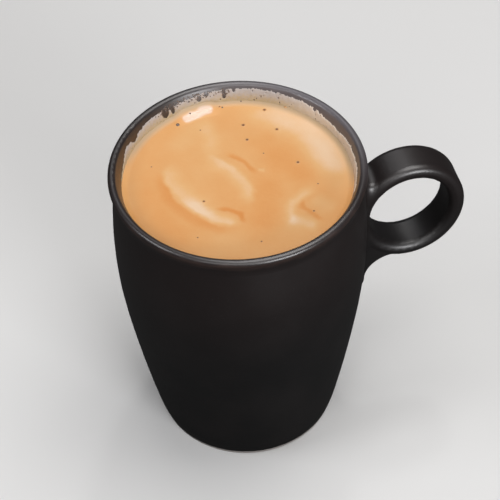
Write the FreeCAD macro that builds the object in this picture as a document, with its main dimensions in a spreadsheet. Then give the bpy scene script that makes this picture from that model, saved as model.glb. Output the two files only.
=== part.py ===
"""Stoneware mug filled nearly to the brim with espresso under its crema.

The mug is one fired piece: a barrel-shaped wall on a shallow foot ring, a lip that
flares out over a narrow neck, and a strap handle bent into an oval ring and pressed onto
the barrel, with a thumbed-down tail under its lower root.  The drink fills the space inside
up to its level and climbs the wall a little where it touches.

Frame: the origin is the middle of the foot on the table, +Z is up and the handle points
along +X.  Every size is a cell of the sheet "Sizes", in millimetres.
"""

import FreeCAD
import Part
import Sketcher

import math
import os

from FreeCAD import Vector

SIZES = [
    # alias, millimetres, meaning
    ("mug_height", 110.5, "table to the crest of the lip"),
    ("rim_radius", 41.0, "axis to the outside of the lip"),
    ("wall", 2.8, "thickness of the wall and of its full round lip"),
    ("neck_curve", 8.0, "hollow outside, where the lip flares out of the barrel"),
    ("belly_swell", 0.1, "how far the widest point stands out past the lip"),
    ("belly_drop", 31.0, "lip crest down to the widest point"),
    ("barrel_curve", 208.0, "radius of the barrel's outline"),
    ("knee_drop", 57.4, "lip crest down to where the barrel turns into the flank"),
    ("flank_curve", 690.0, "radius of the flank's outline"),
    ("heel_height", 8.6, "table up to where the flank turns into the heel"),
    ("heel_curve", 71.0, "radius of the heel's outline"),
    ("foot_edge", 0.8, "rounding of the foot ring's two corners"),
    ("foot_ring_width", 4.6, "ring that stands on the table, corner to corner"),
    ("foot_recess", 1.6, "hollow of the underside within the foot ring"),
    ("floor_thickness", 5.5, "underside hollow to the floor inside"),
    ("floor_corner", 9.0, "rounding between the floor and the wall inside"),
    ("ring_reach", 16.3, "handle ring's centre out to the middle of the strap"),
    ("ring_stretch", 1.3, "how much further the ring reaches up than out"),
    ("ring_bite", 1.0, "how far the strap's middle line is pressed in past the belly"),
    ("ring_drop", 31.3, "lip crest down to the ring's centre"),
    ("strap_width", 13.0, "strap, across the handle"),
    ("strap_thickness", 5.2, "strap, through the ring"),
    ("strap_edge", 2.4, "rounding of the strap's long edges"),
    ("root_blend", 3.2, "hollow blend where the strap meets the barrel"),
    ("tail_curve", 9.5, "hollow outline of the tail under the lower root"),
    ("tail_stand", 0.4, "how far outside the belly that outline stands at its foot"),
    ("tail_tip", 5.0, "rounding of the tail's tip, down into the barrel"),
    ("tail_width", 12.4, "tail, across the handle"),
    ("tail_edge", 2.4, "rounding of the tail's two edges"),
    ("fill_drop", 6.6, "lip crest down to the level of the drink"),
    ("meniscus_rise", 0.7, "how far the drink climbs the wall"),
    ("meniscus_reach", 1.8, "how far from the wall that climb begins"),
]

SPARE = 6.0  # cutting shapes run this far past what they cut
TOUCHING = 1e-4  # a point this near a surface lies on it
CLIMB_END = -0.35  # where the drink's climbing curve stops, past the wall, in radians
TIP_END = -1.35  # where the tail's tip stops, inside the barrel, in radians
PRESSED = 0.3  # how far the tail's upper end is pressed into the strap

START, END, CENTRE = 1, 2, 3  # the points of a piece of sketch geometry
ORIGIN = (-1, 1)  # a sketch's own origin, as a piece and its point
X_AXIS, Y_AXIS = -1, -2

# heights and radii that several sketches share, written on the sheet's sizes
BELLY_HEIGHT = "Sizes.mug_height - Sizes.belly_drop"
BELLY_RADIUS = "Sizes.rim_radius + Sizes.belly_swell"
RING_HEIGHT = "Sizes.mug_height - Sizes.ring_drop"
RING_RISE = "(Sizes.ring_reach + Sizes.ring_stretch)"
RING_CENTRE = f"{BELLY_RADIUS} + Sizes.ring_reach - Sizes.ring_bite"
TAIL_CENTRE = f"{BELLY_RADIUS} + Sizes.tail_curve + Sizes.tail_stand"
TAIL_APART = f"({RING_RISE} + Sizes.strap_thickness / 2 - {PRESSED} + Sizes.tail_curve)"
TAIL_HEIGHT = f"{RING_HEIGHT} - sqrt({TAIL_APART}^2 - ({RING_CENTRE} - ({TAIL_CENTRE}))^2)"
SUNK = f"{BELLY_RADIUS} - 3 * Sizes.wall"  # a line that runs well inside the barrel
LEVEL = "Sizes.mug_height - Sizes.fill_drop"
INNER_CURVE = "(Sizes.barrel_curve - Sizes.wall)"
LEVEL_RISE = "(Sizes.belly_drop - Sizes.fill_drop)"
LEVEL_RADIUS = f"sqrt({INNER_CURVE}^2 - {LEVEL_RISE}^2) - Sizes.barrel_curve + {BELLY_RADIUS}"
FLAT_RADIUS = f"{LEVEL_RADIUS} - Sizes.meniscus_reach"
CLIMB_CURVE = "(Sizes.meniscus_reach^2 + Sizes.meniscus_rise^2) / (2 * Sizes.meniscus_rise)"


def size_sheet(doc):
    """The driving dimensions, one row each."""
    sheet = doc.addObject("Spreadsheet::Sheet", "Sizes")
    for row, (alias, value, meaning) in enumerate(SIZES, start=1):
        sheet.set(f"A{row}", alias)
        sheet.set(f"B{row}", str(value))
        sheet.set(f"C{row}", meaning)
        sheet.setAlias(f"B{row}", alias)
    doc.recompute()
    return sheet


def turn(centre, radius, angle):
    """The point at an angle on a circle."""
    return centre + Vector(math.cos(angle), math.sin(angle), 0) * radius


def angle_to(start, end):
    return math.atan2(end.y - start.y, end.x - start.x)


class Drawing:
    """A sketch on one of its body's own planes, with dimensions bound to the sheet."""

    def __init__(self, body, name, plane):
        self.sketch = body.newObject("Sketcher::SketchObject", name)
        origin_plane = next(f for f in body.Origin.OriginFeatures if f.Role == plane)
        self.sketch.AttachmentSupport = [(origin_plane, "")]
        self.sketch.MapMode = "FlatFace"

    def line(self, start, end, construction=False):
        return self.sketch.addGeometry(Part.LineSegment(start, end), construction)

    def arc(self, centre, radius, first, last):
        """An arc that runs anticlockwise from the angle first to the angle last."""
        circle = Part.Circle(centre, Vector(0, 0, 1), radius)
        return self.sketch.addGeometry(Part.ArcOfCircle(circle, first, last))

    def tie(self, *args):
        return self.sketch.addConstraint(Sketcher.Constraint(*args))

    def chain(self, *pieces):
        """Each piece's end is the next one's start."""
        for first, second in zip(pieces, pieces[1:]):
            self.tie("Coincident", first, END, second, START)

    def value(self, expression):
        found = self.sketch.evalExpression(expression)
        return getattr(found, "Value", found)

    def size(self, kind, *args, by):
        """A dimension that follows an expression on the sheet."""
        index = self.tie(kind, *args, self.value(by))
        self.sketch.setExpression(f"Constraints[{index}]", by)

    def place(self, piece, point, across, up):
        """Holds a point at expressions for its distance across and up from the origin."""
        self.size("DistanceX", *ORIGIN, piece, point, by=across)
        self.size("DistanceY", *ORIGIN, piece, point, by=up)


class Outline:
    """Where the wall's arcs begin, for laying out a sketch before its ties hold it.

    Angles are taken at an arc's centre from straight outward, up being positive.
    """

    def __init__(self, s):
        self.barrel = Vector(
            s.rim_radius + s.belly_swell - s.barrel_curve, s.mug_height - s.belly_drop, 0
        )
        self.knee = -math.asin((s.knee_drop - s.belly_drop) / s.barrel_curve)
        self.flank = turn(self.barrel, s.barrel_curve - s.flank_curve, self.knee)
        self.heel_turn = -math.asin((self.flank.y - s.heel_height) / s.flank_curve)
        self.heel = turn(self.flank, s.flank_curve - s.heel_curve, self.heel_turn)
        self.foot_turn = -math.asin(self.heel.y / s.heel_curve)

        # the neck's arc touches both the barrel and the lip from outside
        self.lip = Vector(s.rim_radius - s.wall / 2, s.mug_height - s.wall / 2, 0)
        to_lip = self.lip - self.barrel
        near, far = s.neck_curve + s.wall / 2, s.neck_curve + s.barrel_curve
        along = (to_lip.Length**2 + far**2 - near**2) / (2 * to_lip.Length)
        aside = math.sqrt(far**2 - along**2)
        way = to_lip / to_lip.Length
        self.neck = self.barrel + way * along + Vector(way.y, -way.x, 0) * aside
        self.neck_on_barrel = angle_to(self.barrel, self.neck) + math.pi
        self.neck_on_lip = angle_to(self.lip, self.neck) + math.pi


def wall_arcs(d, o, s, inset, inset_by):
    """Flank, barrel and neck, moved in from the outside by the inset."""
    flank = d.arc(o.flank, s.flank_curve - inset, o.heel_turn, o.knee)
    barrel = d.arc(o.barrel, s.barrel_curve - inset, o.knee, o.neck_on_barrel - math.pi)
    neck = d.arc(o.neck, s.neck_curve + inset, o.neck_on_lip, o.neck_on_barrel)
    inner_curve = f"(Sizes.barrel_curve - {inset_by})"
    knee_share = "(Sizes.knee_drop - Sizes.belly_drop) / Sizes.barrel_curve"
    d.size("DistanceX", barrel, CENTRE, *ORIGIN, by=f"Sizes.barrel_curve - ({BELLY_RADIUS})")
    d.size("DistanceY", *ORIGIN, barrel, CENTRE, by=BELLY_HEIGHT)
    d.size("Radius", barrel, by=inner_curve)
    height = f"{BELLY_HEIGHT} - {inner_curve} * {knee_share}"
    d.size("DistanceY", *ORIGIN, barrel, START, by=height)
    d.tie("Tangent", flank, END, barrel, START)
    d.size("Radius", flank, by=f"Sizes.flank_curve - {inset_by}")
    d.tie("Tangent", barrel, END, neck, END)
    d.size("Radius", neck, by=f"Sizes.neck_curve + {inset_by}")
    return flank, barrel, neck


def lip_arc(d, o, s, first, last):
    """One side of the lip's full round."""
    lip = d.arc(o.lip, s.wall / 2, first, last)
    d.place(lip, CENTRE, "Sizes.rim_radius - Sizes.wall / 2", "Sizes.mug_height - Sizes.wall / 2")
    d.size("Radius", lip, by="Sizes.wall / 2")
    return lip


def turned(body, drawing):
    """The drawing turned once about the mug's axis."""
    feature = body.newObject("PartDesign::Revolution", f"{body.Name}_turned")
    feature.Profile = drawing.sketch
    feature.ReferenceAxis = (drawing.sketch, ["V_Axis"])
    feature.Angle = 360.0
    return feature


def make_outer_form(doc, s, o):
    """The mug's outside as if it were solid, with its foot ring."""
    body = doc.addObject("PartDesign::Body", "outer_form")
    d = Drawing(body, "outer_section", "XZ_Plane")
    flank, barrel, neck = wall_arcs(d, o, s, 0.0, "0")
    lip = lip_arc(d, o, s, o.neck_on_lip - math.pi, math.pi / 2)
    d.tie("Tangent", lip, START, neck, START)
    d.tie("Vertical", lip, CENTRE, lip, END)
    heel = d.arc(o.heel, s.heel_curve, o.foot_turn, o.heel_turn)
    d.tie("Tangent", heel, END, flank, START)
    d.size("Radius", heel, by="Sizes.heel_curve")
    d.size("DistanceY", *ORIGIN, heel, END, by="Sizes.heel_height")
    d.tie("PointOnObject", heel, START, X_AXIS)

    crest = turn(o.lip, s.wall / 2, math.pi / 2)
    corner = turn(o.heel, s.heel_curve, o.foot_turn)
    inside = corner - Vector(s.foot_ring_width, 0, 0)
    recess = Vector(0, s.foot_recess, 0)
    axis_top = Vector(0, crest.y, 0)
    top = d.line(crest, axis_top)
    axis = d.line(axis_top, recess)
    under = d.line(recess, inside + recess)
    step = d.line(inside + recess, inside)
    foot = d.line(inside, corner)
    d.chain(lip, top, axis, under, step, foot, heel)
    for flat in (top, under, foot):
        d.tie("Horizontal", flat)
    d.tie("Vertical", step)
    for on_axis in (top, axis):
        d.tie("PointOnObject", on_axis, END, Y_AXIS)
    d.size("DistanceX", foot, START, foot, END, by="Sizes.foot_ring_width")
    d.size("DistanceY", step, END, step, START, by="Sizes.foot_recess")
    form = turned(body, d)
    doc.recompute()

    corners = [
        f"Edge{index}"
        for index, edge in enumerate(form.Shape.Edges, start=1)
        if edge.BoundBox.ZMax < 1e-6
    ]
    rounding = body.newObject("PartDesign::Fillet", "foot_corners")
    rounding.Base = (form, corners)
    rounding.setExpression("Radius", "Sizes.foot_edge")
    return body


def make_cavity(doc, s, o):
    """The space inside the mug, one wall in from the outside and open past the lip."""
    body = doc.addObject("PartDesign::Body", "cavity")
    d = Drawing(body, "inner_section", "XZ_Plane")
    flank, barrel, neck = wall_arcs(d, o, s, s.wall, "Sizes.wall")
    lip = lip_arc(d, o, s, math.pi / 2, o.neck_on_lip)
    d.tie("Tangent", lip, END, neck, START)
    d.tie("Vertical", lip, CENTRE, lip, START)

    floor_height = s.foot_recess + s.floor_thickness
    inner_curve = s.flank_curve - s.wall - s.floor_corner
    corner_turn = -math.asin((o.flank.y - floor_height - s.floor_corner) / inner_curve)
    corner_centre = turn(o.flank, inner_curve, corner_turn)
    corner = d.arc(corner_centre, s.floor_corner, -math.pi / 2, corner_turn)
    d.tie("Tangent", corner, END, flank, START)
    d.size("Radius", corner, by="Sizes.floor_corner")

    crest = turn(o.lip, s.wall / 2, math.pi / 2)
    past = Vector(0, SPARE, 0)
    axis_top = Vector(0, crest.y, 0) + past
    floor_middle = Vector(0, floor_height, 0)
    side = d.line(crest, crest + past)
    top = d.line(crest + past, axis_top)
    axis = d.line(axis_top, floor_middle)
    floor = d.line(floor_middle, turn(corner_centre, s.floor_corner, -math.pi / 2))
    d.tie("Coincident", lip, START, side, START)
    d.chain(side, top, axis, floor)
    d.tie("Tangent", floor, END, corner, START)
    d.tie("Vertical", side)
    for flat in (top, floor):
        d.tie("Horizontal", flat)
    for on_axis in (top, axis):
        d.tie("PointOnObject", on_axis, END, Y_AXIS)
    d.tie("DistanceY", side, START, side, END, SPARE)
    d.size("DistanceY", *ORIGIN, floor, START, by="Sizes.foot_recess + Sizes.floor_thickness")
    turned(body, d)
    return body


def make_handle_ring(doc, s):
    """The strap bent into a closed oval ring, its inner side pressed into the barrel."""
    body = doc.addObject("PartDesign::Body", "handle_ring")
    d = Drawing(body, "strap_section", "XY_Plane")
    d.sketch.setExpression("AttachmentOffset.Base.z", RING_HEIGHT)
    centre = d.value(RING_CENTRE)
    middle = centre + s.ring_reach
    half_thick, half_wide, edge = s.strap_thickness / 2, s.strap_width / 2, s.strap_edge
    right, left = middle + half_thick, middle - half_thick

    corners = [
        (Vector(right - edge, half_wide - edge, 0), 0.0),
        (Vector(left + edge, half_wide - edge, 0), math.pi / 2),
        (Vector(left + edge, edge - half_wide, 0), math.pi),
        (Vector(right - edge, edge - half_wide, 0), -math.pi / 2),
    ]
    rounds = [d.arc(c, edge, first, first + math.pi / 2) for c, first in corners]
    sides = []
    for index, (centre_point, first) in enumerate(corners):
        following, beginning = corners[(index + 1) % 4]
        here = turn(centre_point, edge, first + math.pi / 2)
        sides.append(d.line(here, turn(following, edge, beginning)))
    for index, side in enumerate(sides):
        d.tie("Tangent", rounds[index], END, side, START)
        d.tie("Tangent", side, END, rounds[(index + 1) % 4], START)
    for side, way in zip(sides, ("Horizontal", "Vertical", "Horizontal")):
        d.tie(way, side)
    for other in rounds[1:]:
        d.tie("Equal", rounds[0], other)
    d.size("Radius", rounds[0], by="Sizes.strap_edge")
    outermost = f"{RING_CENTRE} + Sizes.ring_reach + Sizes.strap_thickness / 2"
    d.size("DistanceX", *ORIGIN, sides[3], START, by=outermost)
    d.size("DistanceX", sides[1], START, sides[3], START, by="Sizes.strap_thickness")
    d.size("DistanceY", sides[2], START, sides[0], START, by="Sizes.strap_width")
    d.tie("Symmetric", sides[3], START, sides[3], END, X_AXIS)

    path = Drawing(body, "strap_path", "XZ_Plane")
    height = path.value(RING_HEIGHT)
    middle_point = Vector(centre, height, 0)
    oval = path.sketch.addGeometry(
        Part.Ellipse(
            middle_point + Vector(0, s.ring_reach + s.ring_stretch, 0),
            middle_point + Vector(s.ring_reach, 0, 0),
            middle_point,
        )
    )
    path.sketch.exposeInternalGeometry(oval)
    tall, wide = oval + 1, oval + 2
    path.tie("Vertical", tall)
    path.size("Distance", tall, START, tall, END, by=f"2 * {RING_RISE}")
    path.size("Distance", wide, START, wide, END, by="2 * Sizes.ring_reach")
    path.place(oval, CENTRE, RING_CENTRE, RING_HEIGHT)
    sweep = body.newObject("PartDesign::AdditivePipe", "strap_sweep")
    sweep.Profile = d.sketch
    sweep.Spine = (path.sketch, ["Edge1"])
    return body


def make_tail(doc, s):
    """The tail pressed down onto the barrel under the strap's lower root.

    Its hollow outline leaves the strap's underside without a step and runs down into the
    wall; the rest of the outline is buried in the strap and the wall.
    """
    body = doc.addObject("PartDesign::Body", "handle_tail")
    d = Drawing(body, "tail_outline", "XZ_Plane")
    ring = Vector(d.value(RING_CENTRE), d.value(RING_HEIGHT), 0)
    tail = Vector(d.value(TAIL_CENTRE), d.value(TAIL_HEIGHT), 0)
    leave = angle_to(tail, ring)
    touch = turn(tail, s.tail_curve, leave)
    within = turn(tail, s.tail_curve + s.strap_thickness / 2, leave)
    elbow = turn(ring, s.ring_reach + s.ring_stretch, -0.75 * math.pi)
    tip_centre = turn(tail, s.tail_curve + s.tail_tip, math.pi)
    low = turn(tip_centre, s.tail_tip, TIP_END)
    sunk = d.value(SUNK)

    hollow = d.arc(tail, s.tail_curve, leave, math.pi)
    tip = d.arc(tip_centre, s.tail_tip, TIP_END, 0.0)
    bottom = d.line(low, Vector(sunk, low.y, 0))
    back = d.line(Vector(sunk, low.y, 0), Vector(sunk, elbow.y, 0))
    over = d.line(Vector(sunk, elbow.y, 0), elbow)
    inner = d.line(elbow, within)
    end = d.line(within, touch)
    spoke = d.line(tail, ring, construction=True)
    d.tie("Tangent", hollow, END, tip, END)
    d.tie("Coincident", tip, START, bottom, START)
    d.chain(bottom, back, over, inner, end)
    d.tie("Coincident", end, END, hollow, START)
    d.place(hollow, CENTRE, TAIL_CENTRE, TAIL_HEIGHT)
    d.size("Radius", hollow, by="Sizes.tail_curve")
    d.size("Radius", tip, by="Sizes.tail_tip")
    d.size("DistanceX", tip, CENTRE, tip, START, by=f"Sizes.tail_tip * {math.cos(TIP_END)}")
    d.place(spoke, END, RING_CENTRE, RING_HEIGHT)
    d.tie("Coincident", spoke, START, hollow, CENTRE)
    d.tie("PointOnObject", end, START, spoke)
    d.tie("PointOnObject", end, END, spoke)
    d.size("Distance", end, START, end, END, by="Sizes.strap_thickness / 2")
    for level in (bottom, over):
        d.tie("Horizontal", level)
    d.tie("Horizontal", hollow, CENTRE, hollow, END)
    d.tie("Vertical", back)
    d.size("DistanceX", *ORIGIN, back, START, by=SUNK)
    d.size("DistanceX", over, END, spoke, END, by=f"{RING_RISE} * sqrt(0.5)")
    d.size("DistanceY", over, END, spoke, END, by=f"{RING_RISE} * sqrt(0.5)")

    pad = body.newObject("PartDesign::Pad", "tail_pad")
    pad.Profile = d.sketch
    pad.SideType = "Symmetric"
    pad.setExpression("Length", "Sizes.tail_width")
    doc.recompute()

    hollow_edges = [
        f"Edge{index}"
        for index, edge in enumerate(pad.Shape.Edges, start=1)
        if edge.Curve.TypeId == "Part::GeomCircle"
    ]
    rounding = body.newObject("PartDesign::Fillet", "tail_edges")
    rounding.Base = (pad, hollow_edges)
    rounding.setExpression("Radius", "Sizes.tail_edge")
    return body


def joint_edges(joined, first, second):
    """The edges of a fused shape that lie on the surfaces of both of its halves."""

    def on_both(edge):
        span = edge.LastParameter - edge.FirstParameter
        points = [edge.valueAt(edge.FirstParameter + span * k) for k in (0.2, 0.5, 0.8)]
        probes = [Part.Vertex(point) for point in points]
        return all(probe.distToShape(half)[0] < TOUCHING for probe in probes for half in (first, second))

    return [index for index, edge in enumerate(joined.Edges, start=1) if on_both(edge)]


def blended(doc, name, base, edges, radius_by):
    """A rolled blend of one named size along edges of a joined form."""
    blend = doc.addObject("Part::Fillet", name)
    blend.Base = base
    radius = getattr(doc.Sizes, radius_by)
    blend.Edges = [(index, radius, radius) for index in edges]
    doc.recompute()
    return blend


def make_mug(doc, outer_form, cavity, ring, tail):
    """One piece: the form and its ring blended together, the tail added, then hollowed."""
    ringed = doc.addObject("Part::Fuse", "ringed_form")
    ringed.Base, ringed.Tool = outer_form, ring
    doc.recompute()
    root_edges = joint_edges(ringed.Shape, outer_form.Shape, ring.Shape)
    rooted = blended(doc, "rooted_form", ringed, root_edges, "root_blend")

    tailed = doc.addObject("Part::Fuse", "tailed_form")
    tailed.Base, tailed.Tool = rooted, tail
    doc.recompute()
    mug = doc.addObject("Part::Cut", "mug_cut")
    mug.Base, mug.Tool = tailed, cavity
    mug.Label = "mug"
    return mug


def make_drink(doc, s, cavity):
    """The drink up to its level, curved up where it meets the wall."""
    body = doc.addObject("PartDesign::Body", "level_form")
    d = Drawing(body, "level_section", "XZ_Plane")
    level, flat = d.value(LEVEL), d.value(FLAT_RADIUS)
    climb = d.value(CLIMB_CURVE)
    outside = s.rim_radius
    bottom_middle, bottom_side = Vector(0, 0, 0), Vector(outside, 0, 0)

    rising = d.arc(Vector(flat, level + climb, 0), climb, -math.pi / 2, CLIMB_END)
    rim_point = turn(Vector(flat, level + climb, 0), climb, CLIMB_END)
    surface = d.line(Vector(0, level, 0), Vector(flat, level, 0))
    over = d.line(rim_point, Vector(outside, rim_point.y, 0))
    side = d.line(Vector(outside, rim_point.y, 0), bottom_side)
    bottom = d.line(bottom_side, bottom_middle)
    axis = d.line(bottom_middle, Vector(0, level, 0))
    d.tie("Tangent", surface, END, rising, START)
    d.chain(rising, over, side, bottom, axis, surface)
    for flat_line in (surface, over, bottom):
        d.tie("Horizontal", flat_line)
    for upright in (side, axis):
        d.tie("Vertical", upright)
    d.tie("Coincident", bottom, END, *ORIGIN)
    d.size("Radius", rising, by=CLIMB_CURVE)
    d.size("DistanceX", *ORIGIN, rising, START, by=FLAT_RADIUS)
    d.size("DistanceY", *ORIGIN, rising, START, by=LEVEL)
    d.size("DistanceX", *ORIGIN, side, END, by="Sizes.rim_radius")
    d.size("DistanceX", rising, CENTRE, rising, END, by=f"{CLIMB_CURVE} * {math.cos(CLIMB_END)}")
    turned(body, d)

    drink = doc.addObject("Part::Common", "espresso_common")
    drink.Base, drink.Tool = cavity, body
    drink.Label = "espresso"
    return drink


def check(doc):
    """Stops the build if any object failed."""
    for thing in doc.Objects:
        if "Invalid" in thing.State or "Error" in thing.State:
            raise RuntimeError(f"{thing.Label} did not build")


def main():
    doc = FreeCAD.newDocument("cup_of_espresso")
    sheet = size_sheet(doc)
    outline = Outline(sheet)
    outer_form = make_outer_form(doc, sheet, outline)
    cavity = make_cavity(doc, sheet, outline)
    ring = make_handle_ring(doc, sheet)
    tail = make_tail(doc, sheet)
    mug = make_mug(doc, outer_form, cavity, ring, tail)
    drink = make_drink(doc, sheet, cavity)
    doc.recompute()
    check(doc)

    os.makedirs("parts", exist_ok=True)
    for piece in (mug, drink):
        shape = piece.Shape
        if shape.isNull() or not shape.isValid() or len(shape.Solids) != 1:
            raise RuntimeError(f"{piece.Label} is not one sound solid")
        shape.exportStep(f"parts/{piece.Label}.step")
        print(f"{piece.Label}: {shape.Volume / 1000:.2f} cm3")


if __name__ == "__main__":
    main()
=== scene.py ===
"""Looks for the stoneware mug of espresso: glaze, crema, foam left on the wall and bubbles.

Metres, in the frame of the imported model: the origin is the middle of the foot, +Z is up
and the handle points along +X.  A "bearing" is an angle round the mug from +X, in radians.
A "turn" is an angle round the mug from the camera's right, anticlockwise, in degrees.
Places on the crema are in millimetres from the mug's axis, and "up" is a height over the
drink's level in millimetres.
"""

import math
import random

import bmesh
import bpy
from mathutils import Matrix, Vector, noise
from mathutils.bvhtree import BVHTree


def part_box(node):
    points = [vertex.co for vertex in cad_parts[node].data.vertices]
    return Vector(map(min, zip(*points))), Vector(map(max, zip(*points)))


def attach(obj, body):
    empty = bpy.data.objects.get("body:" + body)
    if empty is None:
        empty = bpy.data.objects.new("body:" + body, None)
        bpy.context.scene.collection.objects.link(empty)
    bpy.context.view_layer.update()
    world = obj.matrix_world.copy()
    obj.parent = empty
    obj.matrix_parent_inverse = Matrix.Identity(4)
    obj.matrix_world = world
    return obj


MM = 0.001

# camera, placed from the middle of the brim
CAMERA_DISTANCE = 574 * MM
CAMERA_ELEVATION = 44.99  # degrees above the horizon
CAMERA_BEARING = -12.6  # degrees from +X to the camera's right; at 0 it looks along +Y
CAMERA_ROLL = -2.54  # degrees
BRIM_ASIDE = -0.00684  # where the brim's middle lies from the view's axis, as a slope
BRIM_ABOVE = 0.04531
CAMERA_LENS = 131.5  # focal length in mm
CAMERA_SENSOR = 36.0  # width in mm
VIEW_RIGHT = math.radians(CAMERA_BEARING)  # the bearing that every turn is counted from

# the crema's skin
CREMA_OVER = 0.25 * MM  # its top over the drink's level
CREMA_UNDER = 0.6 * MM  # its hidden underside below the level
CREMA_INTO_WALL = 0.25 * MM
CREMA_SPACING = 0.34 * MM  # from ring to ring
CREMA_AROUND = 432  # points in each ring

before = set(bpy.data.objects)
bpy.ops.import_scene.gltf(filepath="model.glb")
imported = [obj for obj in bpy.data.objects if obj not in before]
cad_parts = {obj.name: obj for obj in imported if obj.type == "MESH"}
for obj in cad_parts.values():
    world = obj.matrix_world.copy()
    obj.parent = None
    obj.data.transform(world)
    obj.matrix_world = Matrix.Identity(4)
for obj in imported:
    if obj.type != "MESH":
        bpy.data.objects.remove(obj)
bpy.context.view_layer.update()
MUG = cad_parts["mug"]
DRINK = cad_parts["espresso"]
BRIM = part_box("mug")[1][2]


# ---------------------------------------------------------------- measuring the frame


def caster(thing):
    """A function that gives how far a ray runs before it meets a CAD node."""
    mesh = bmesh.new()
    mesh.from_mesh(thing.data)
    tree = BVHTree.FromBMesh(mesh)
    mesh.free()

    def cast(start, way):
        return tree.ray_cast(Vector(start), Vector(way))[3]

    return cast


from_mug = caster(MUG)
from_drink = caster(DRINK)

OVER_MUG = BRIM + 10 * MM
LEVEL = OVER_MUG - from_drink((0, 0, OVER_MUG), (0, 0, -1))

CLEAR_BEARING = 2.0  # well away from the handle
WALL_TOP = BRIM - 0.4 * MM  # just below the crest of the lip
WALL_STEPS = 24


def wall_radius(height):
    """Inner radius of the mug at a height."""
    return from_mug((0, 0, height), (math.cos(CLEAR_BEARING), math.sin(CLEAR_BEARING), 0))


LEVEL_RADIUS = wall_radius(LEVEL)
WALL_PROFILE = [wall_radius(LEVEL + (WALL_TOP - LEVEL) * k / WALL_STEPS) for k in range(WALL_STEPS + 1)]


def wall_at(height):
    """Inner radius at a height between the level and the brim, from the measured profile."""
    share = (height - LEVEL) / (WALL_TOP - LEVEL) * WALL_STEPS
    low = max(0, min(WALL_STEPS - 1, int(share)))
    return WALL_PROFILE[low] + (WALL_PROFILE[low + 1] - WALL_PROFILE[low]) * (share - low)


# ---------------------------------------------------------------- small helpers


def smooth(low, high, value):
    """0 at low and 1 at high, with a smooth rise between them."""
    t = max(0.0, min(1.0, (value - low) / (high - low)))
    return t * t * (3 - 2 * t)


def rough(x, y, layer, size):
    """Smooth noise from about -1 to 1, with features of a size.  Each use has its own layer."""
    return noise.noise(Vector((x / size, y / size, layer)))


def band(first, second, around):
    """Squares between two rings of points, each given by the number of its first point."""
    for k in range(around):
        after = (k + 1) % around
        yield first + k, second + k, second + after, first + after


def fan(centre, ring, around):
    """Triangles from one point to a ring of points."""
    for k in range(around):
        yield centre, ring + k, ring + (k + 1) % around


def flipped(faces):
    """The same faces, turned to face the other way."""
    return [(face[0], *face[:0:-1]) for face in faces]


def piece(name, verts, faces, material):
    """A smooth mesh piece that rides on the mug."""
    mesh = bpy.data.meshes.new(name)
    mesh.from_pydata(verts, [], faces)
    mesh.update()
    thing = bpy.data.objects.new(name, mesh)
    bpy.context.scene.collection.objects.link(thing)
    mesh.materials.append(material)
    mesh.polygons.foreach_set("use_smooth", [True] * len(mesh.polygons))
    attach(thing, "root")
    return thing


def shade_values(thing, name, values):
    """One number for each vertex, which the material reads."""
    attribute = thing.data.attributes.new(name, "FLOAT", "POINT")
    attribute.data.foreach_set("value", values)


class Nodes:
    """Short names for building a node tree."""

    def __init__(self, material_name):
        self.material = bpy.data.materials.new(material_name)
        self.material.use_nodes = True
        self.tree = self.material.node_tree
        self.shader = self.tree.nodes["Principled BSDF"]

    def add(self, kind, inputs=(), **settings):
        node = self.tree.nodes.new(kind)
        for key, value in settings.items():
            setattr(node, key, value)
        for key, value in dict(inputs).items():
            self.feed(node.inputs[key], value)
        return node

    def feed(self, socket, value):
        if isinstance(value, bpy.types.NodeSocket):
            self.tree.links.new(value, socket)
        elif isinstance(value, tuple) and socket.type == "RGBA":
            socket.default_value = (*value, 1.0)
        else:
            socket.default_value = value

    def place(self):
        return self.add("ShaderNodeTexCoord").outputs["Object"]

    def split_place(self):
        """The place as its X, Y and Z."""
        return self.add("ShaderNodeSeparateXYZ", {"Vector": self.place()}).outputs

    def from_axis(self):
        """Distance from the mug's axis."""
        flat = self.add("ShaderNodeVectorMath", {0: self.place(), 1: (1, 1, 0)}, operation="MULTIPLY")
        return self.add("ShaderNodeVectorMath", {0: flat.outputs[0]}, operation="LENGTH").outputs["Value"]

    def noise(self, size, detail=3.0, roughness=0.5):
        """Noise with features of a size in metres, from 0 to 1."""
        inputs = {"Vector": self.place(), "Scale": 1.0 / size, "Detail": detail, "Roughness": roughness}
        return self.add("ShaderNodeTexNoise", inputs).outputs["Fac"]

    def math(self, operation, a, b):
        return self.add("ShaderNodeMath", {0: a, 1: b}, operation=operation).outputs[0]

    def plus(self, a, b):
        return self.math("ADD", a, b)

    def minus(self, a, b):
        return self.math("SUBTRACT", a, b)

    def times(self, a, b):
        return self.math("MULTIPLY", a, b)

    def sway(self, value, width):
        """A value from 0 to 1 turned into one that swings over a width, half of it each way."""
        return self.times(self.minus(value, 0.5), width)

    def between(self, value, low, high, first=0.0, last=1.0):
        """The value's share between low and high, smoothed, from first to last."""
        inputs = {"Value": value, "From Min": low, "From Max": high, "To Min": first, "To Max": last}
        return self.add("ShaderNodeMapRange", inputs, interpolation_type="SMOOTHSTEP").outputs[0]

    def mix(self, share, first, second):
        node = self.add("ShaderNodeMix", data_type="RGBA")
        self.feed(node.inputs[0], share)
        self.feed(node.inputs[6], first)
        self.feed(node.inputs[7], second)
        return node.outputs[2]

    def attribute(self, name):
        return self.add("ShaderNodeAttribute", attribute_name=name).outputs["Fac"]

    def set(self, **inputs):
        for key, value in inputs.items():
            self.feed(self.shader.inputs[key.replace("_", " ")], value)

    def bump(self, height, distance, strength):
        inputs = {"Height": height, "Distance": distance, "Strength": strength}
        self.feed(self.shader.inputs["Normal"], self.add("ShaderNodeBump", inputs).outputs[0])


# ---------------------------------------------------------------- materials

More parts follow.
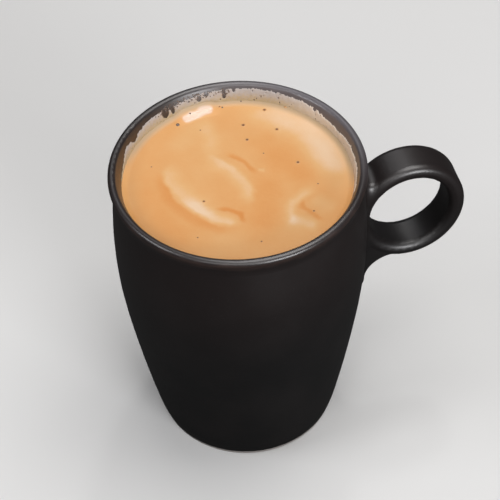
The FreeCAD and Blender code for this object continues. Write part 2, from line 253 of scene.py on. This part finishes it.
GLAZE_BLACK = (0.0040, 0.0037, 0.0038)
GLAZE_CLOUD = (0.0062, 0.0050, 0.0049)
# browner glaze with painted light from above, for the upper body
GLAZE_UPPER_BROWN_AND_LIT = (0.0135, 0.0085, 0.0080)
GLAZE_SPECK = (0.060, 0.054, 0.055)
GLAZE_THIN = (0.047, 0.029, 0.024)
LIP_DARK = (0.020, 0.0145, 0.0140)
# the pale end of the lip's colour is a painted reflection
LIP_PAINTED_SHEEN = (0.150, 0.138, 0.150)
CLAY_DARK = (0.30, 0.27, 0.25)
CLAY_PALE = (0.42, 0.39, 0.37)

# crema from deep orange to pale cream, by tone
CREMA_RAMP = [
    (0.0, (0.70, 0.275, 0.062)),
    (0.3, (0.745, 0.352, 0.113)),
    (0.62, (0.78, 0.445, 0.183)),
    (1.0, (0.84, 0.60, 0.395)),
]
CREMA_BY_FOAM = (0.48, 0.345, 0.21)
# a painted highlight, mixed into the crema where it is wet
CREMA_PAINTED_GLINT = (0.76, 0.62, 0.54)

FOAM_LOW = (0.45, 0.345, 0.20)
FOAM_HIGH = (0.43, 0.385, 0.36)
# painted light on the foam at the camera's right
FOAM_PAINTED_LIGHT = (0.80, 0.68, 0.56)
FOAM_SPECK = (0.22, 0.14, 0.09)

BUBBLE_DARK = (0.08, 0.05, 0.035)
BUBBLE_PALE = (0.24, 0.19, 0.16)
PORE_RIM = (0.70, 0.37, 0.15)
PORE_DEEP = (0.17, 0.070, 0.026)
COFFEE_DARK = (0.045, 0.017, 0.007)
COFFEE_PALE = (0.075, 0.029, 0.011)

FLOOR_SEEN = (0.78, 0.78, 0.77)
FLOOR_REFLECTED = (0.05, 0.05, 0.05)


def lip_share(n, height, outside):
    """1 on the lip, which reaches further down inside than outside."""
    down = n.between(outside, 0.0, 1.0, 1.4 * MM, 0.0)
    return n.between(n.plus(height, down), BRIM - 3.0 * MM, BRIM - 1.6 * MM)


def lip_colour_and_painted_sheen(n):
    """Paler towards the handle and the back, where a reflection of light from the left is painted on the
    lip.
    """
    x, y, _ = n.split_place()
    return n.mix(n.between(n.plus(x, n.times(y, 0.8)), 16 * MM, 56 * MM), LIP_DARK, LIP_PAINTED_SHEEN)


def thin_share(n, height, outside):
    """Nearly 1 where the glaze runs thin just under the lip outside, and less inside."""
    wander = n.sway(n.noise(6 * MM), 3.0 * MM)
    from_brim = n.plus(n.minus(BRIM, height), wander)
    starts = n.between(from_brim, 0.4 * MM, 1.6 * MM)
    ends = n.between(from_brim, 5.2 * MM, 2.2 * MM)
    return n.times(n.times(starts, ends), n.between(outside, 0.0, 1.0, 0.25, 0.85))


def bare_share(n, height):
    """1 where the foot stands, which is left unglazed."""
    edge = n.plus(height, n.sway(n.noise(1.6 * MM), 0.7 * MM))
    return n.between(edge, 1.9 * MM, 1.5 * MM)


def glaze():
    """Near-black satin glaze, thin and brown where it breaks under the lip, bare at the foot, paler towards
    the top with painted light, and with a painted reflection on the lip.
    """
    n = Nodes("mug_glaze")
    height = n.split_place()["Z"]
    outside = n.between(n.from_axis(), 39.0 * MM, 40.2 * MM)
    clouds = n.noise(22 * MM, detail=4)
    lip = lip_share(n, height, outside)
    bare = bare_share(n, height)

    colour = n.mix(n.between(clouds, 0.36, 0.66), GLAZE_BLACK, GLAZE_CLOUD)
    # paler and browner towards the top: partly a browner glaze, partly painted light from above
    upper = n.between(height, 50 * MM, 100 * MM)
    colour = n.mix(n.times(upper, 0.8), colour, GLAZE_UPPER_BROWN_AND_LIT)
    speckle = n.between(n.noise(0.55 * MM, detail=1), 0.70, 0.82)
    colour = n.mix(n.times(speckle, 0.35), colour, GLAZE_SPECK)
    # the lip, with its painted reflection towards the handle and the back
    colour = n.mix(n.times(lip, 0.95), colour, lip_colour_and_painted_sheen(n))
    colour = n.mix(thin_share(n, height, outside), colour, GLAZE_THIN)
    colour = n.mix(bare, colour, n.mix(n.noise(0.8 * MM), CLAY_DARK, CLAY_PALE))

    satin = n.between(clouds, 0.3, 0.7, 0.36, 0.43)
    satin = n.plus(n.minus(satin, n.times(lip, 0.05)), n.times(bare, 0.45))
    n.set(Base_Color=colour, Roughness=satin, Specular_IOR_Level=1.0)
    pits = n.plus(n.times(n.noise(0.9 * MM, detail=2), 0.6), n.noise(3.5 * MM, detail=2))
    n.bump(pits, 0.05 * MM, 0.6)
    return n.material


def crema_material():
    """Golden crema: paler in the swirls, with fine grain, and shiny only where it is wet, where a pale
    highlight is also painted into its colour.
    """
    n = Nodes("crema")
    drift = n.sway(n.noise(9 * MM, detail=5, roughness=0.55), 0.30)
    grain = n.sway(n.noise(0.5 * MM), 0.10)
    tone = n.plus(n.plus(n.attribute("tone"), drift), grain)
    ramp = n.add("ShaderNodeValToRGB", {"Fac": tone})
    stops = ramp.color_ramp.elements
    for stop, (position, colour) in zip(stops, (CREMA_RAMP[0], CREMA_RAMP[-1])):
        stop.position = position
        stop.color = (*colour, 1)
    for position, colour in CREMA_RAMP[1:-1]:
        stops.new(position).color = (*colour, 1)
    wet_glint = n.attribute("wet_glint")
    colour = n.mix(n.attribute("film"), ramp.outputs["Color"], CREMA_BY_FOAM)
    # painted highlight: the wet patch is paled towards white where the lamp's reflection lies
    colour = n.mix(n.times(wet_glint, 0.6), colour, CREMA_PAINTED_GLINT)
    n.set(Base_Color=colour, Roughness=n.between(wet_glint, 0.0, 1.0, 0.50, 0.19), Specular_IOR_Level=0.45)
    n.bump(n.noise(0.35 * MM, detail=2), 0.03 * MM, 0.35)
    return n.material


def film_material():
    """The beige foam left on the wall: greyer towards its top, and whiter towards the camera's right, where
    light from the left is painted on it.
    """
    n = Nodes("foam_film")
    share = n.plus(n.attribute("up"), n.sway(n.noise(0.8 * MM), 0.9))
    colour = n.mix(n.between(share, 0.15, 1.05), FOAM_LOW, FOAM_HIGH)
    # painted light: whiter on the wall at the camera's right, which faces the light from the left
    colour = n.mix(n.times(n.attribute("painted_light"), 0.8), colour, FOAM_PAINTED_LIGHT)
    specks = n.between(n.noise(0.6 * MM, detail=1), 0.64, 0.74)
    colour = n.mix(n.times(specks, 0.35), colour, FOAM_SPECK)
    n.set(Base_Color=colour, Roughness=0.5, Specular_IOR_Level=0.4)
    n.bump(n.noise(0.5 * MM, detail=2), 0.05 * MM, 0.5)
    return n.material


def bubble_material():
    """Wet brown skins of bubbles, mottled and shiny."""
    n = Nodes("bubbles")
    colour = n.mix(n.noise(1.4 * MM), BUBBLE_DARK, BUBBLE_PALE)
    n.set(Base_Color=colour, Roughness=0.08, Specular_IOR_Level=0.8)
    return n.material


def pore_material():
    """A burst bubble: dark brown in the middle, crema at its edge."""
    n = Nodes("pores")
    n.set(Base_Color=n.mix(n.attribute("deep"), PORE_RIM, PORE_DEEP), Roughness=0.4)
    return n.material


def drink_material():
    """Dark coffee, hidden under the crema."""
    n = Nodes("espresso")
    n.set(Base_Color=n.mix(n.noise(5 * MM), COFFEE_DARK, COFFEE_PALE), Roughness=0.12)
    return n.material


def floor_material():
    """Plain floor that keeps the mug's shadow: pale to the camera and dark in reflections."""
    n = Nodes("floor")
    seen = n.add("ShaderNodeLightPath").outputs["Is Camera Ray"]
    n.set(Base_Color=n.mix(seen, FLOOR_REFLECTED, FLOOR_SEEN), Roughness=0.9, Specular_IOR_Level=0.1)
    return n.material


# ---------------------------------------------------------------- the crema's surface

# strokes of paler or darker crema:
# tone, reach to the left and to the right of the way the points run in mm, points
STROKES = [
    # the pale swirl in the middle and the long one to its left
    (0.34, 2.4, 6.0, [
        (-7.4, 15.0), (-4.4, 11.4), (-1.0, 7.2), (1.4, 2.6), (2.8, -3.0), (2.4, -8.4), (-0.6, -12.0),
    ]),
    (0.26, 6.5, 2.6, [
        (-17.0, 15.0), (-20.6, 10.6), (-20.8, 4.6), (-18.4, -2.4), (-15.0, -8.6), (-10.6, -13.8),
    ]),
    (0.36, 4.6, 2.4, [(-19.0, -1.0), (-15.4, -8.6), (-11.4, -13.8), (-6.8, -16.8), (-2.0, -17.0)]),
    # the pale swirl at the right
    (0.30, 2.6, 3.4, [(25.0, -9.6), (19.4, -10.4), (14.8, -13.8), (12.0, -19.0), (11.6, -26.6)]),
    (0.26, 3.6, 3.6, [(10.6, -19.6), (14.6, -22.6), (20.0, -26.4)]),
    (0.18, 4.6, 4.6, [(20.0, -12.6), (23.0, -16.4), (26.6, -20.6)]),
    # faint pale drifts behind them, and a small pale fleck
    (0.16, 4.2, 4.2, [(-5.0, 10.0), (-4.2, 18.0), (-3.4, 25.0), (-3.0, 35.0)]),
    (0.14, 6.5, 6.5, [(-18.0, 18.0), (-11.0, 26.0), (-1.6, 30.0)]),
    (0.24, 1.3, 1.3, [(7.2, 3.6), (8.4, 3.0), (9.8, 2.4)]),
    # dark lines along the swirls
    (-0.34, 1.6, 1.1, [(-1.0, 13.4), (2.4, 10.2), (4.8, 6.2), (6.2, 0.4)]),
    (-0.38, 1.6, 1.3, [(-10.6, -9.4), (-6.0, -10.8), (-3.0, -13.4), (-2.4, -18.6)]),
    (-0.30, 1.4, 4.0, [
        (-21.6, 13.0), (-23.0, 6.4), (-22.4, -1.0), (-19.4, -8.0),
        (-15.4, -13.8), (-10.8, -18.4), (-4.4, -20.8),
    ]),
    (-0.28, 1.2, 1.8, [(17.4, -12.4), (17.0, -16.8), (19.2, -20.6), (22.6, -25.0)]),
    # broad darker drifts
    (-0.16, 7.0, 7.0, [(8.0, 4.0), (8.4, -8.0), (5.0, -17.0), (-1.0, -25.0)]),
    (-0.14, 8.0, 8.0, [(8.0, 24.0), (12.0, 12.0), (18.0, 1.0), (27.0, -6.0)]),
    (-0.10, 8.0, 8.0, [(-26.0, 17.0), (-29.0, 2.0), (-24.0, -14.0), (-14.0, -26.0)]),
]
# the broad pale crescent along the wall
PALE_CREST = [(11.0, 31.0), (20.4, 24.8), (27.6, 17.4), (31.0, 8.4), (31.6, 0.0), (31.0, -7.0)]
PALE_REACH = 10.0  # how far from that crest the crema is paler, in mm
PALE_TONE = 0.46

MIDDLE_TONE = 0.42
HIDDEN_TONE = 0.4
BROAD_DRAG, BROAD_SIZE = 1.0, 6.0  # how far noise drags the strokes and its size, in mm
FINE_DRAG, FINE_SIZE = 0.35, 1.9

# the wet patch by the wall, which shines and holds a painted highlight, and the mound that it lies on, in
# mm
WET_GLINT_PATCH = [(-9.0, 32.2), (-5.4, 33.2), (-1.4, 34.4)]
MOUND_X, MOUND_Y = -5.2, 33.4
MOUND_START = 31.4  # distance from the axis where it starts to rise
MOUND_SLOPE = 0.18
MOUND_FULL, MOUND_END = 5.0, 9.0  # distances from its middle

CLIMB_HEIGHT = 0.75 * MM  # how far the surface climbs where it meets the wall
CLIMB_REACH = 2.6 * MM


def to_stroke(x, y, points):
    """Distance in mm from a place to a stroke's line, how far along it, and which side."""
    nearest, along, left = math.inf, 0.0, True
    here = Vector((x, y))
    for number, (first, last) in enumerate(zip(points, points[1:])):
        a = Vector(first)
        run = Vector(last) - a
        share = max(0.0, min(1.0, (here - a).dot(run) / run.length_squared))
        away = here - a - run * share
        if away.length < nearest:
            nearest = away.length
            along = (number + share) / (len(points) - 1)
            left = run.cross(here - a) > 0
    return nearest, along, left


def tone_at(x, y):
    """How pale the crema is at a place in mm: 0 is deep orange, 1 pale cream."""
    # the drink turned slowly, so noise drags every stroke a little
    x, y = (
        x + BROAD_DRAG * rough(x, y, 3.1, BROAD_SIZE) + FINE_DRAG * rough(x, y, 5.7, FINE_SIZE),
        y + BROAD_DRAG * rough(x, y, 8.3, BROAD_SIZE) + FINE_DRAG * rough(x, y, 1.9, FINE_SIZE),
    )
    tone = MIDDLE_TONE + 0.08 * rough(x, y, 0.4, 14.0)
    away, along, _ = to_stroke(x, y, PALE_CREST)
    tone += PALE_TONE * smooth(PALE_REACH, 0.5, away) * smooth(-0.1, 0.2, along) * smooth(1.1, 0.8, along)
    for strength, left_reach, right_reach, points in STROKES:
        away, along, left = to_stroke(x, y, points)
        reach = left_reach if left else right_reach
        if away < reach:
            ends = smooth(0.0, 0.25, along) * smooth(1.0, 0.75, along)
            tone += strength * ends * smooth(reach, 0.1, away)
    return tone


def relief_at(x, y, tone):
    """Height of the crema over its level, in mm: swirls and the mound stand a touch proud."""
    to_mound = math.hypot(x - MOUND_X, y - MOUND_Y)
    mound = MOUND_SLOPE * max(0.0, math.hypot(x, y) - MOUND_START) * smooth(MOUND_END, MOUND_FULL, to_mound)
    return mound + 0.10 * (tone - 0.5) + 0.05 * rough(x, y, 2.2, 7.0) + 0.016 * rough(x, y, 6.1, 1.1)


def wet_glint_at(x, y):
    """1 where the skin is still wet and shines and a highlight is painted on it, at a place in mm."""
    x += 0.8 * rough(x, y, 4.0, 3.0)
    y += 0.6 * rough(x, y, 6.0, 2.2)
    return smooth(2.0, 1.0, to_stroke(x, y, WET_GLINT_PATCH)[0])


def surface_height(x, y, tone):
    """Height of the crema's surface at a place in metres with a tone."""
    from_wall = max(0.0, LEVEL_RADIUS - math.hypot(x, y))
    climb = CLIMB_HEIGHT * smooth(CLIMB_REACH, 0.0, from_wall) ** 1.6
    return LEVEL + CREMA_OVER + relief_at(x / MM, y / MM, tone) * MM + climb


def make_crema(material):
    """Rings of points from the axis to just inside the wall's surface, over a hidden underside."""
    reach = LEVEL_RADIUS + CREMA_INTO_WALL
    rings = int(reach / CREMA_SPACING)
    around = CREMA_AROUND
    verts, tones, films, wet_glints = [], [], [], []

    def add(place, tone, film=0.0, wet_glint=0.0):
        verts.append(place)
        tones.append(tone)
        films.append(film)
        wet_glints.append(wet_glint)

    for ring in range(1, rings + 1):
        radius = reach * ring / rings
        for k in range(around):
            bearing = 2 * math.pi * k / around
            x, y = radius * math.cos(bearing), radius * math.sin(bearing)
            tone = tone_at(x / MM, y / MM)
            film = smooth(3.0 * MM, 0.6 * MM, reach - radius) * film_share(bearing)
            add((x, y, surface_height(x, y, tone)), tone, film, wet_glint_at(x / MM, y / MM))
    edge = (rings - 1) * around
    middle, under, low_edge = len(verts), len(verts) + 1, len(verts) + 2
    tone = tone_at(0, 0)
    add((0, 0, surface_height(0, 0, tone)), tone)
    add((0, 0, LEVEL - CREMA_UNDER), tone)
    for x, y, _ in verts[edge:middle]:
        add((x, y, LEVEL - CREMA_UNDER), HIDDEN_TONE)

    faces = []
    for ring in range(rings - 1):
        faces += band(ring * around, (ring + 1) * around, around)
    faces += fan(middle, 0, around)
    faces += band(edge, low_edge, around)
    faces += flipped(fan(under, low_edge, around))
    thing = piece("crema_surface", verts, faces, material)
    shade_values(thing, "tone", tones)
    shade_values(thing, "film", films)
    shade_values(thing, "wet_glint", wet_glints)


# ---------------------------------------------------------------- foam left on the wall

FILM_THICKNESS = 0.22 * MM  # its usual thickness
FILM_EDGE = 0.08 * MM  # its thickness at its edge
FILM_INTO_WALL = 0.05 * MM  # how far its back lies in the wall
FILM_STEP = 0.22 * MM  # size of a cell
FILM_RISE = FILM_STEP / MM  # the same as a height in mm
FILM_TURN = math.degrees(FILM_STEP / LEVEL_RADIUS)  # the same as a turn
FILM_FIRST, FILM_LAST = -16.0, 178.0  # turns between which the wall has foam
FILM_FOOT, FILM_TALLEST = -0.3, 6.2  # where it starts, and how far over that it can reach, in mm

# height of the foam's top at the camera's right, and its changes between two turns, in mm
FILM_TOP = 4.1
FILM_CHANGES = [
    (14, 30, -0.6),
    (34, 50, 1.2),
    (58, 80, 0.5),
    (96, 122, -0.7),
    (132, 144, -0.3),
    (158, 174, -2.6),
]

# gaps in the foam: turn, up, half width in degrees, half height in mm
GAPS = [
    (127.4, 3.4, 2.0, 2.0),
    (124.6, 4.6, 2.6, 1.1),
    (123.0, 3.0, 1.0, 1.3),
    (151.0, 4.6, 3.4, 2.0),
    (114.3, 5.0, 0.9, 0.6),
    (108.2, 3.6, 1.3, 0.95),
    (104.2, 4.5, 1.2, 0.75),
    (95.2, 3.7, 1.0, 1.7),
    (90.2, 4.7, 0.7, 0.6),
    (46.6, 4.6, 1.0, 0.9),
]


def film_share(bearing):
    """0 where the wall is clean, 1 where the foam climbs it: round the back of the mug."""
    turn = math.degrees(bearing - VIEW_RIGHT) % 360
    if turn > 270:
        turn -= 360
    return smooth(-14, 12, turn) * smooth(176, 150, turn)


def film_top(turn):
    """Height of the foam's ragged top over the level, in mm."""
    body = FILM_TOP + sum(change * smooth(start, end, turn) for start, end, change in FILM_CHANGES)
    steps = 0.40 * rough(turn, 0, 4.4, 5.0) + 0.38 * rough(turn, 0, 9.2, 1.9)
    return body + steps + 0.20 * rough(turn, 0, 2.6, 0.8)


def film_there(turn, up):
    """Is there foam at this turn and at this height in mm over the level?"""
    if up > film_top(turn):
        return False
    for at, height, half_turn, half_height in GAPS:
        wobble = 1 + 0.35 * rough(turn * 1.1, up * 1.4, at, 1.6)
        if ((turn - at) / half_turn) ** 2 + ((up - height) / half_height) ** 2 < wobble:
            return False
    pinholes = rough(turn * 0.65, up, 7.7, 0.55)
    return pinholes < 0.62 or up < 1.0


def film_cells():
    """The small cells of the wall that hold foam, as columns and rows."""
    columns = int((FILM_LAST - FILM_FIRST) / FILM_TURN)
    rows = int(FILM_TALLEST / FILM_RISE)
    return {
        (i, j)
        for i in range(columns)
        for j in range(rows)
        if film_there(FILM_FIRST + (i + 0.5) * FILM_TURN, FILM_FOOT + (j + 0.5) * FILM_RISE)
    }


def film_depth(i, j, up):
    """Thickness of the foam at a corner: lumpy, and more where it meets the crema."""
    lumps = 1 + 0.5 * rough(i * 0.22, j * 0.22, 1.5, 1.3)
    return FILM_THICKNESS * lumps + 0.5 * MM * smooth(1.2, FILM_FOOT, up)


def make_film(material):
    """A thin closed shell on the wall, made of the cells that hold foam."""
    held = film_cells()
    verts, ups, painted_light, faces, index = [], [], [], [], {}

    def corner(i, j, front):
        """Number of the vertex at a cell's lower corner, on the shell's front or back."""
        key = (i, j, front)
        if key in index:
            return index[key]
        turn, up = FILM_FIRST + i * FILM_TURN, FILM_FOOT + j * FILM_RISE
        bearing = VIEW_RIGHT + math.radians(turn)
        height = LEVEL + up * MM
        radius = wall_at(height) + FILM_INTO_WALL
        if front:
            inside = {(i, j), (i - 1, j), (i, j - 1), (i - 1, j - 1)} <= held
            radius -= film_depth(i, j, up) if inside else FILM_EDGE
        index[key] = len(verts)
        verts.append((radius * math.cos(bearing), radius * math.sin(bearing), height))
        ups.append(max(0.0, min(1.0, up / 4.5)))
        # share of painted light, strongest towards the camera's right
        painted_light.append(smooth(74, 34, turn))
        return index[key]

    for i, j in sorted(held):
        square = ((i, j), (i + 1, j), (i + 1, j + 1), (i, j + 1))
        faces.append([corner(*c, True) for c in reversed(square)])
        faces.append([corner(*c, False) for c in square])
        sides = (((i, j - 1), 0, 1), ((i + 1, j), 1, 2), ((i, j + 1), 2, 3), ((i - 1, j), 3, 0))
        for neighbour, a, b in sides:
            if neighbour not in held:
                front = [corner(*square[a], True), corner(*square[b], True)]
                back = [corner(*square[b], False), corner(*square[a], False)]
                faces.append(front + back)
    thing = piece("foam_film", verts, faces, material)
    shade_values(thing, "up", ups)
    shade_values(thing, "painted_light", painted_light)


# ---------------------------------------------------------------- bubbles and pores

# lone bubbles on the surface: place in mm from the axis, and radius in mm
LONE_BUBBLES = [(-12.5, 30.5, 0.6), (-7.5, 34.0, 0.3), (3.5, 34.5, 0.3), (10.0, 35.0, 0.25)]

# the froth along the foam's upper left edge: turns, heights and radii in mm
FROTH_COUNT = 120
FROTH_TURNS = (92, 132)
FROTH_UP = (3.6, 5.4)
FROTH_RADII = (0.14, 0.18, 0.22, 0.3)
FROTH_STAND = 0.10 * MM  # how far the froth's bubbles stand in from the wall

# burst bubbles: place in mm from the axis, and radius in mm
PORES = [
    (8.0, 24.5, 0.55), (18.0, 19.5, 0.50), (7.5, 17.5, 0.50), (2.5, 35.0, 0.40), (23.5, 28.5, 0.40),
    (20.5, 3.0, 0.50), (-12.5, -5.5, 0.40), (16.5, 29.5, 0.50), (19.5, -19.0, 0.35), (-6.0, 26.0, 0.25),
    (0.5, -27.0, 0.30), (-18.0, -20.0, 0.25), (24.0, -8.0, 0.25), (-25.0, 14.0, 0.25), (11.0, 10.0, 0.25),
]
# from the outer edge inwards: share of the radius, height in mm, darkness
PORE_PROFILE = [
    (1.7, -0.10, 0.0),
    (1.35, 0.02, 0.0),
    (1.0, 0.055, 0.1),
    (0.72, 0.02, 0.75),
    (0.4, -0.005, 1.0),
]
PORE_AROUND = 20
PORE_STAND = 0.02 * MM  # a pore's zero height over the crema
PORE_MIDDLE = 0.01 * MM  # its middle below that
PORE_UNDER = 0.4 * MM  # its hidden underside below that


def dome(verts, faces, centre, size, axis, squash=0.8, around=12, rows=6):
    """A bubble squashed along its axis, added to lists of vertices and faces."""
    tilt = axis.to_track_quat("Z", "Y").to_matrix()
    start = len(verts)
    for row in range(rows):
        lift = math.pi * (row + 1) / (rows + 1)
        flat, high = math.sin(lift), math.cos(lift) * squash
        for k in range(around):
            spin = 2 * math.pi * k / around
            local = Vector((flat * math.cos(spin), flat * math.sin(spin), high))
            verts.append(centre + tilt @ (local * size))
    top, bottom = len(verts), len(verts) + 1
    verts.append(centre + tilt @ Vector((0, 0, squash * size)))
    verts.append(centre - tilt @ Vector((0, 0, squash * size)))
    for row in range(rows - 1):
        faces += band(start + row * around, start + (row + 1) * around, around)
    faces += fan(top, start, around)
    faces += flipped(fan(bottom, start + (rows - 1) * around, around))


def make_bubbles(material):
    """Lone bubbles, and the froth of small ones along the foam's upper left edge."""
    draw = random.Random(11)
    verts, faces = [], []
    for x, y, size in LONE_BUBBLES:
        centre = Vector((x * MM, y * MM, surface_height(x * MM, y * MM, tone_at(x, y))))
        dome(verts, faces, centre, size * MM, Vector((0, 0, 1)), around=20, rows=10)
    for _ in range(FROTH_COUNT):
        bearing = VIEW_RIGHT + math.radians(draw.uniform(*FROTH_TURNS))
        height = LEVEL + draw.uniform(*FROTH_UP) * MM
        size = draw.choice(FROTH_RADII) * MM
        outward = Vector((math.cos(bearing), math.sin(bearing), 0))
        centre = outward * (wall_at(height) - FROTH_STAND)
        centre.z = height
        dome(verts, faces, centre, size, -outward, squash=0.7)
    piece("bubbles", verts, faces, material)


def make_pores(material):
    """Shallow craters with a low rim, sunk into the crema's surface."""
    around = PORE_AROUND
    verts, faces, deep = [], [], []
    for x, y, size in PORES:
        start = len(verts)
        base = surface_height(x * MM, y * MM, tone_at(x, y)) + PORE_STAND
        for share, lift, dark in PORE_PROFILE:
            for k in range(around):
                spin = 2 * math.pi * k / around
                aside, ahead = math.cos(spin), math.sin(spin)
                reach = size * share * (1 + 0.10 * rough(aside + x, ahead + y, 2.0, 0.8))
                verts.append(((x + reach * aside) * MM, (y + reach * ahead) * MM, base + lift * MM))
                deep.append(dark)
        middle, bottom = len(verts), len(verts) + 1
        verts.append((x * MM, y * MM, base - PORE_MIDDLE))
        verts.append((x * MM, y * MM, base - PORE_UNDER))
        deep += [1.0, 0.0]
        rings = range(start, middle, around)
        for outer, inner in zip(rings, rings[1:]):
            faces += flipped(band(outer, inner, around))
        faces += fan(middle, rings[-1], around)
        faces += flipped(fan(bottom, start, around))
    thing = piece("pores", verts, faces, material)
    shade_values(thing, "deep", deep)


# ---------------------------------------------------------------- stage

FLOOR_HALF = 3.0  # half the length of its side

# name, turn, elevation in degrees, distance, width and height, watts, colour
LAMPS = [
    ("overhead", 14, 77, 1.4, (0.95, 0.95), 11.2, (1.0, 0.98, 0.97)),
    ("back", 77, 63, 1.3, (0.11, 0.11), 1.1, (1.0, 0.99, 0.98)),
    ("rear", 108, 43, 1.8, (0.9, 0.6), 1.6, (0.98, 0.98, 1.0)),
    ("left", 194, 40, 1.5, (0.6, 0.5), 4.8, (0.97, 0.97, 1.0)),
    ("front", 262, 40, 1.6, (1.3, 0.8), 6.0, (1.0, 0.99, 0.98)),
    ("low_right", 303, 16, 1.6, (0.7, 0.5), 15.0, (0.98, 0.98, 1.0)),
]
SURROUNDINGS = (0.055, 0.055, 0.058, 1)  # what the mug reflects
BACKDROP = (0.86, 0.86, 0.85, 1)  # what the camera sees beyond the floor


def make_camera():
    """Looks at the middle of the brim, which lies a little off the middle of the view."""
    rise = math.radians(CAMERA_ELEVATION)
    right = Vector((math.cos(VIEW_RIGHT), math.sin(VIEW_RIGHT), 0))
    ahead_flat = Vector((-math.sin(VIEW_RIGHT), math.cos(VIEW_RIGHT), 0))
    ahead = ahead_flat * math.cos(rise) - Vector((0, 0, 1)) * math.sin(rise)
    above = right.cross(ahead)
    straight = Matrix((right, above, -ahead)).transposed()
    to_brim = Vector((BRIM_ASIDE, BRIM_ABOVE, -1))
    tilt = to_brim.rotation_difference(Vector((0, 0, -1))).to_matrix()
    turned = straight @ Matrix.Rotation(math.radians(CAMERA_ROLL), 3, "Z") @ tilt
    data = bpy.data.cameras.new("camera")
    data.lens = CAMERA_LENS
    data.sensor_width = CAMERA_SENSOR
    camera = bpy.data.objects.new("camera", data)
    bpy.context.scene.collection.objects.link(camera)
    place = Vector((0, 0, BRIM)) - ahead * CAMERA_DISTANCE
    camera.matrix_world = Matrix.Translation(place) @ turned.to_4x4()
    bpy.context.scene.camera = camera


def make_floor(material):
    """A square under the mug that reaches far beyond the view."""
    mesh = bpy.data.meshes.new("floor")
    half = FLOOR_HALF
    corners = [(-half, -half, 0), (half, -half, 0), (half, half, 0), (-half, half, 0)]
    mesh.from_pydata(corners, [], [(0, 1, 2, 3)])
    mesh.materials.append(material)
    floor = bpy.data.objects.new("floor", mesh)
    bpy.context.scene.collection.objects.link(floor)


def lamp(name, turn, elevation, distance, size, watts, colour):
    """An area lamp that faces the middle of the brim."""
    bearing, rise = math.radians(turn) + VIEW_RIGHT, math.radians(elevation)
    way = Vector((math.cos(bearing) * math.cos(rise), math.sin(bearing) * math.cos(rise), math.sin(rise)))
    data = bpy.data.lights.new(name, "AREA")
    data.shape = "RECTANGLE"
    data.size, data.size_y = size
    data.energy = watts
    data.color = colour
    thing = bpy.data.objects.new(name, data)
    bpy.context.scene.collection.objects.link(thing)
    thing.location = Vector((0, 0, BRIM)) + way * distance
    thing.rotation_euler = way.to_track_quat("Z", "Y").to_euler()


def make_world():
    """Dim surroundings for the mug, with a pale backdrop that only the camera sees."""
    world = bpy.data.worlds.new("world")
    bpy.context.scene.world = world
    world.use_nodes = True
    tree = world.node_tree
    dim = tree.nodes["Background"]
    dim.inputs["Color"].default_value = SURROUNDINGS
    dim.inputs["Strength"].default_value = 1.0
    backdrop = tree.nodes.new("ShaderNodeBackground")
    backdrop.inputs["Color"].default_value = BACKDROP
    path = tree.nodes.new("ShaderNodeLightPath")
    mix = tree.nodes.new("ShaderNodeMixShader")
    tree.links.new(path.outputs["Is Camera Ray"], mix.inputs["Fac"])
    tree.links.new(dim.outputs[0], mix.inputs[1])
    tree.links.new(backdrop.outputs[0], mix.inputs[2])
    tree.links.new(mix.outputs[0], tree.nodes["World Output"].inputs["Surface"])


def dress(node, material):
    """Gives a CAD node its material and smooth shading."""
    for slot in node.material_slots:
        slot.material = material
    node.data.polygons.foreach_set("use_smooth", [True] * len(node.data.polygons))


dress(MUG, glaze())
dress(DRINK, drink_material())
make_crema(crema_material())
make_film(film_material())
make_bubbles(bubble_material())
make_pores(pore_material())
make_floor(floor_material())
for settings in LAMPS:
    lamp(*settings)
make_world()
make_camera()
bpy.context.scene.view_settings.view_transform = "Standard"
